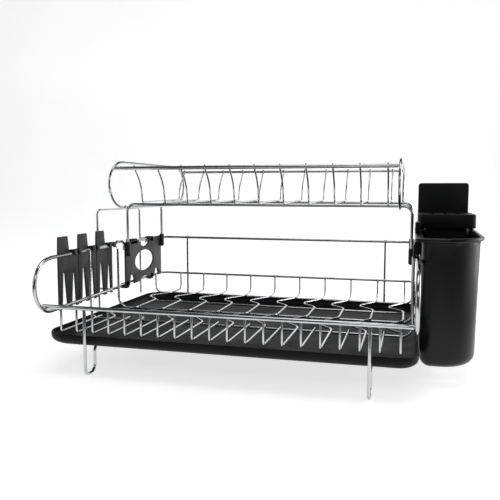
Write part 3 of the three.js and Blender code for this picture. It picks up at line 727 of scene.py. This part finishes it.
# ---- caddy ----
CUP_X, CUP_Y, CUP_Z = (438.9, 507.3), (66, 284), (24.2, 176)
CUP_CORNERS, CUP_WALL = [14, 44, 30, 30], 2.2
CUP_TAPER, CUP_LEAN = 0.035, 1.04        # the outer side leans in by this share, the cup by this in degrees
RIM_Y, RIM_Z = 57, 180.4                 # the point that it leans about
RIM = (430.8, 511.8, RIM_Y, 294, [10, 54, 36, 36])
DRAIN_SLOTS, DRAIN_PITCH = 5, 36
LUG_X, LUG_Y, LUG_Z = (430.8, 437.4), (138, 166), (177, 194.4)


def hanging(x, y, z):
    """Leans a point with the cup, which hangs parallel to the sloping side rail."""
    c, s = math.cos(math.radians(CUP_LEAN)), math.sin(math.radians(CUP_LEAN))
    dy, dz = y - RIM_Y, z - RIM_Z
    return x, RIM_Y + c * dy - s * dz, RIM_Z + s * dy + c * dz


def tapered(x, z):
    """The cup narrows to the bottom on its outer side."""
    return CUP_X[0] + (x - CUP_X[0]) * (1 - CUP_TAPER * (CUP_Z[1] - z) / (CUP_Z[1] - CUP_Z[0]))


def hang_mesh(ob):
    for v in ob.data.vertices:
        x, y, z = (v.co - ORIGIN) * 1000
        v.co = P(*hanging(x, y, z))


def caddy_cup():
    def body(steps):
        return [([(tapered(x, z), y) for x, y in ring_points(*CUP_X, *CUP_Y, CUP_CORNERS, i, 16)], z)
                for i, z in steps]

    def flange(steps):
        return [(ring_points(*RIM, i, 16), z) for i, z in steps]

    rings = body(quarter(0, CUP_Z[0], 13, True, 9))
    rings += body([(0, 80), (0, 120), (0, 150), (0, 170), (-0.6, 174.4)])
    rings += flange([(5.0, 175.5), (2.2, 175.7), (0.7, 176.1), (0.1, 177),
                     (0, 178), (0.15, 179.1), (0.8, 180), (2.0, RIM_Z)])
    rings += body([(-1.6, 180.3), (0.2, 179.9), (1.4, 179.0)] + [(CUP_WALL, z) for z in (177.0, 150, 100)])
    rings += body(quarter(CUP_WALL, CUP_Z[0] + 2.6, 11, False, 8))
    bm = bmesh.new()
    add_loft(bm, rings)
    ob = finish_mesh("caddy_cup_moulding", bm, "caddy", "caddy_gloss", ("caddy_cup",), smooth=45)

    def slots(tool):
        for i in range(DRAIN_SLOTS):
            y = CUP_Y[0] + 37 + i * DRAIN_PITCH
            add_loft(tool, [(ring_points(CUP_X[0] + 20, CUP_X[1] - 20, y - 2.5, y + 2.5, 2.4, 0, 5), z)
                            for z in (CUP_Z[0] - 4, CUP_Z[0] + 6)])

    cut_out(ob, slots)
    hang_mesh(ob)


def caddy_hooks():
    """Two hooks over the side wire and the lug that stands up between them."""
    bm = bmesh.new()
    x, z = CUP_X[0], UPPER_Z + FRAME_R + GAP
    outline = [(x + 1, 176.4), (x - 5, 176.4), (x - 9.7, z + 11), (x - 9.7, 131.5), (x - 7.2, 131.5),
               (x - 7.2, z), (x + 1, z)]
    for a, b in ((115, 135), (150, 170)):
        add_plate(bm, [soften(outline, [0, 0.8, 3, 0.9, 0.9, 1.2, 0])], lambda u, v, w, a=a: (u, a + w, v),
                  b - a, 0.4)
    (x0, x1), (z0, z1) = LUG_X, LUG_Z
    lug = soften([(x0, z0), (x1, z0), (x1, z1), (x0, z1)], [0, 0, 1.2, 4], 10)
    add_plate(bm, [lug], lambda u, v, w: (u, LUG_Y[0] + w, v), LUG_Y[1] - LUG_Y[0], 0.8)
    hang_mesh(finish_mesh("caddy_hooks", bm, "caddy", "caddy_gloss", smooth=35))


def add_ledge(bm, x0, x1, y0, y1, top):
    """A block whose underside follows the leaning rim."""
    feet = [hanging(0, y, RIM_Z + GAP)[2] for y in (y0, y0, y1, y1)]
    ring = [(x0, y0), (x1, y0), (x1, y1), (x0, y1)]
    low = [bm.verts.new(P(x, y, z)) for (x, y), z in zip(ring, feet)]
    high = [bm.verts.new(P(x, y, top)) for x, y in ring]
    bm.faces.new(low[::-1])
    bm.faces.new(high)
    for k in range(4):
        bm.faces.new((low[k], low[(k + 1) % 4], high[(k + 1) % 4], high[k]))


BLOCK_X, BLOCK_Y, BLOCK_Z, LEDGE_Y = (434.6, 508.2), (172, 285), (186.8, 205.2), 204
SKIRT_X, SKIRT_Y, SKIRT_Z = (443, 499.5), (180, 279), 116
KNIFE_X, KNIFE_Y, KNIFE_WIDTH = (454, 471, 488), (188, 252), 5
SHIELD_Y, SHIELD_T, SHIELD_TOP_Z = 269, 7, 248.2


def caddy_insert():
    (x0, x1), y1, (z0, z1), low = BLOCK_X, BLOCK_Y[1], BLOCK_Z, SKIRT_Z
    skirt = [(2.0, z1 - 3), (2.0, 150), (2.0, low + 0.3), (1.6, low),
             (0.4, low), (0, low + 0.4), (0, 176), (0, z0)]
    rings = [(ring_points(*SKIRT_X, *SKIRT_Y, [6, 6, 24, 24], i, 10), z) for i, z in skirt]
    rings += [(ring_points(*BLOCK_X, *BLOCK_Y, 6, i, 10), z)
              for i, z in ((1.0, z0), (0.3, z0 + 0.25), (0, z0 + 0.9), (0, z1 - 1.2), (0.15, z1 - 0.6),
                           (0.5, z1 - 0.15), (1.2, z1))]
    bm = bmesh.new()
    add_loft(bm, rings)
    for a, b in ((x0 + 1.2, SKIRT_X[0] - 0.01), (SKIRT_X[1] + 0.01, x1 - 1.2)):
        add_ledge(bm, a, b, LEDGE_Y, y1 - 1.2, z0 + 0.4)
    ob = finish_mesh("caddy_insert_block", bm, "insert", "insert_plastic", ("caddy_insert",), smooth=35)

    def slots(tool):
        for x in KNIFE_X:
            half = KNIFE_WIDTH / 2
            add_loft(tool, [(ring_points(x - half, x + half, *KNIFE_Y, half - 0.05, 0, 6), z)
                            for z in (z1 - 8, z1 + 4)])

    cut_out(ob, slots)
    bm = bmesh.new()
    a, b, foot, top = x0 + 0.2, x1 - 3.2, z1 - 2, SHIELD_TOP_Z
    shield = soften([(a, foot), (b, foot), (b, top), (a, top)], [0, 0, 4.5, 4.5], 10)
    add_plate(bm, [shield], lambda u, v, w: (u, SHIELD_Y - w, v), SHIELD_T, 1.0)
    finish_mesh("caddy_insert_shield", bm, "insert", "insert_plastic", smooth=35)


# ---- cup holders ----
HOLDER_Y, HOLDER_WIDTH, HOLDER_DROP, HOLDER_T = (30.4, 79.9, 129.4), 48.5, 74.5, 2.3
HOLDER_HOOKS = ((28, 34.5), (40.5, 47))


def cup_holder(i, y0):
    """A comb of three fingers with a tab above, hooked over the side loop."""
    w, d, t = HOLDER_WIDTH, -HOLDER_DROP, HOLDER_T
    z0 = upper_z(y0 + w)
    x = X_L - LOOP_R - GAP
    outline = [(0, d), (8, d), (8.4, d + 3), (11.6, -25), (15.4, -25), (20.6, d + 3), (21, d), (31, d),
               (31.4, d + 3), (35.8, -28), (39.4, -28), (42.4, d + 3), (42.8, d), (w, d), (w, 4.5),
               (26.4, 4.5), (23.6, 23.5), (1.2, 23.5), (0.2, 4.5)]
    gap = [1.2, 0.8, 1.1, 1.1, 0.8, 1.2]
    radii = [1.2] + gap + gap + [1.2, 1.2, 1.0, 1.6, 1.6, 1.0]
    bm = bmesh.new()
    add_plate(bm, [soften(outline, radii)], lambda u, v, q: (x - q, y0 + u, z0 + v), t, 0.45)
    under = LOOP_R + GAP
    for a, b in HOLDER_HOOKS:
        add_box(bm, x - 1, X_L + 4.9, y0 + a, y0 + b, z0 + under, z0 + under + 2, 0.6)
        add_box(bm, X_L + LOOP_R + GAP, X_L + 4.9, y0 + a, y0 + b, z0 - 3.4, z0 + under + 1, 0.5)
    node = f"cup_holder_{i}"
    finish_mesh(node + "_moulding", bm, f"holder_{i}", "holder_plastic", (node,), smooth=35)


basket_wires()
floor_ribs()
cross_wires()
leg_wires()
board_arch()
basket_welds()
shelf_ribs()
shelf_legs_and_rails()
shelf_ends()
shelf_welds()
bracket("left")
bracket("right")
drip_tray()
caddy_cup()
caddy_hooks()
caddy_insert()
for number, start_y in enumerate(HOLDER_Y, 1):
    cup_holder(number, start_y)


# ---- studio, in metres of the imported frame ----
FRONT_FADE = (-0.95, -0.46)                       # the sweep's glow rises over these y
SIDE_FADE, SIDE_GLOW = (-0.32, -0.03), 0.4        # and falls to this share past the edges of the view
VIEW_EDGES = ((0.7915, 0.6112), (-0.9912, 0.1320))
VIEW_FOOT = (0.191, -0.850)                       # where both edges of the view start
FRONT_Y, BACK_Y, BACK_R, BACK_TOP, SWEEP_X = -3.0, 1.2, 0.9, 1.6, (-2.8, 1.9)
LIGHTS = [                                        # name, place, target, size, watts
    ("key_top", (0.1, -0.1, 1.9), (0, 0, 0.1), (1.4, 1.0), 9),
    ("front_box", (0.55, -1.7, 1.2), (0, 0, 0.15), (0.7, 0.5), 3.0),
    ("side_right", (1.3, 0.75, 0.5), (0.2, 0, 0.12), (0.5, 0.9), 5),
    ("caddy_panel", (1.1, 0.30, 0.32), (0.25, 0.05, 0.12), (1.2, 0.7), 5),
    ("side_left", (-1.5, -0.9, 0.6), (0, 0, 0.15), (0.5, 1.0), 3),
]


def smooth_step(nt, value, start, end, low):
    n = add_node(nt, "ShaderNodeMapRange", interpolation_type="SMOOTHSTEP")
    for key, val in (("From Min", start), ("From Max", end), ("To Min", low), ("To Max", 1.0)):
        n.inputs[key].default_value = val
    nt.links.new(value, n.inputs["Value"])
    return n.outputs["Result"]


def floor_material():
    """A white sweep with a painted glow of its own, which falls off into painted dark grey before and beside
    the rack, the dim studio that the chrome reflects.
    """
    mat = bpy.data.materials.new("studio_floor")
    nt, sh = nodes_of(mat)
    co = add_node(nt, "ShaderNodeTexCoord").outputs["Object"]
    split = add_node(nt, "ShaderNodeSeparateXYZ")
    nt.links.new(co, split.inputs[0])
    glow = smooth_step(nt, split.outputs["Y"], *FRONT_FADE, 0.0)
    for nx, ny in VIEW_EDGES:
        side = add_node(nt, "ShaderNodeVectorMath", operation="DOT_PRODUCT")
        nt.links.new(co, side.inputs[0])
        side.inputs[1].default_value = (nx, ny, 0)
        start = VIEW_FOOT[0] * nx + VIEW_FOOT[1] * ny
        edge = smooth_step(nt, side.outputs["Value"], *(start + d for d in SIDE_FADE), SIDE_GLOW)
        both = add_node(nt, "ShaderNodeMath", operation="MULTIPLY")
        nt.links.new(glow, both.inputs[0])
        nt.links.new(edge, both.inputs[1])
        glow = both.outputs[0]
    tone = ramp(nt, noise(nt, co, 3, 3), [(0.3, 0.80), (0.7, 0.82)])
    mix = add_node(nt, "ShaderNodeMix", data_type="RGBA")
    # painted shade: dark grey past the view's edges stands in for a dim studio in the chrome's reflections
    mix.inputs["A"].default_value = (0.10, 0.10, 0.10, 1)
    nt.links.new(glow, mix.inputs["Factor"])
    nt.links.new(tone, mix.inputs["B"])
    colour = next(o for o in mix.outputs if o.type == "RGBA")
    nt.links.new(colour, sh.inputs["Base Color"])
    # painted light: the floor's colour also glows, so the floor lights the rack though it is no lamp
    nt.links.new(colour, sh.inputs["Emission Color"])
    sh.inputs["Emission Strength"].default_value = 0.87
    sh.inputs["Roughness"].default_value = 0.7
    sh.inputs["Specular IOR Level"].default_value = 0.1
    return mat


def studio():
    """The sweep, five soft lights and a dim world."""
    bm = bmesh.new()
    curve = [(BACK_Y + BACK_R * math.sin(a), BACK_R - BACK_R * math.cos(a))
             for a in (math.pi / 2 * k / 12 for k in range(1, 13))]
    prof = [(FRONT_Y, 0.0), (BACK_Y, 0.0)] + curve + [(BACK_Y + BACK_R, BACK_TOP)]
    rows = [[bm.verts.new((x, y, z - 0.0002)) for x in SWEEP_X] for y, z in prof]
    for a, b in zip(rows, rows[1:]):
        bm.faces.new((a[0], a[1], b[1], b[0]))
    for f in bm.faces:
        f.smooth = True
    mesh = bpy.data.meshes.new("studio_sweep")
    bm.to_mesh(mesh)
    bm.free()
    ob = bpy.data.objects.new("studio_sweep", mesh)
    mesh.materials.append(floor_material())
    bpy.context.scene.collection.objects.link(ob)

    def area(name, loc, target, size, power):
        li = bpy.data.lights.new(name, "AREA")
        li.shape, li.size, li.size_y, li.energy = "RECTANGLE", *size, power
        o = bpy.data.objects.new(name, li)
        o.location = loc
        o.rotation_euler = (Vector(target) - Vector(loc)).to_track_quat("-Z", "Y").to_euler()
        bpy.context.scene.collection.objects.link(o)

    for light in LIGHTS:
        area(*light)
    world = bpy.data.worlds.new("studio_world")
    bpy.context.scene.world = world
    world.use_nodes = True
    bg = world.node_tree.nodes["Background"]
    bg.inputs["Color"].default_value = (0.62, 0.64, 0.67, 1)
    bg.inputs["Strength"].default_value = 0.12


CAMERA_PLACE = (425.7, -661.8, 231.2)             # working millimetres
CAMERA_YAW, CAMERA_PITCH, CAMERA_ROLL = 15.045, 5.313, 0.128
SENSOR, FOCAL_WIDTHS = 36, 1.1992                 # millimetres, focal length in widths of the frame


def camera():
    cam = bpy.data.cameras.new("camera")
    cam.sensor_width = SENSOR
    cam.lens = FOCAL_WIDTHS * SENSOR
    cam.clip_start, cam.clip_end = 0.05, 20
    ob = bpy.data.objects.new("camera", cam)
    yaw, pitch, roll = (math.radians(a) for a in (CAMERA_YAW, CAMERA_PITCH, CAMERA_ROLL))
    ob.matrix_world = (Matrix.Translation(P(*CAMERA_PLACE)) @ Matrix.Rotation(yaw, 4, "Z")
                       @ Matrix.Rotation(math.pi / 2 - pitch, 4, "X") @ Matrix.Rotation(roll, 4, "Z"))
    bpy.context.scene.collection.objects.link(ob)
    bpy.context.scene.camera = ob


studio()
camera()
bpy.context.scene.view_settings.view_transform = "Standard"
bpy.context.scene.view_settings.look = "None"
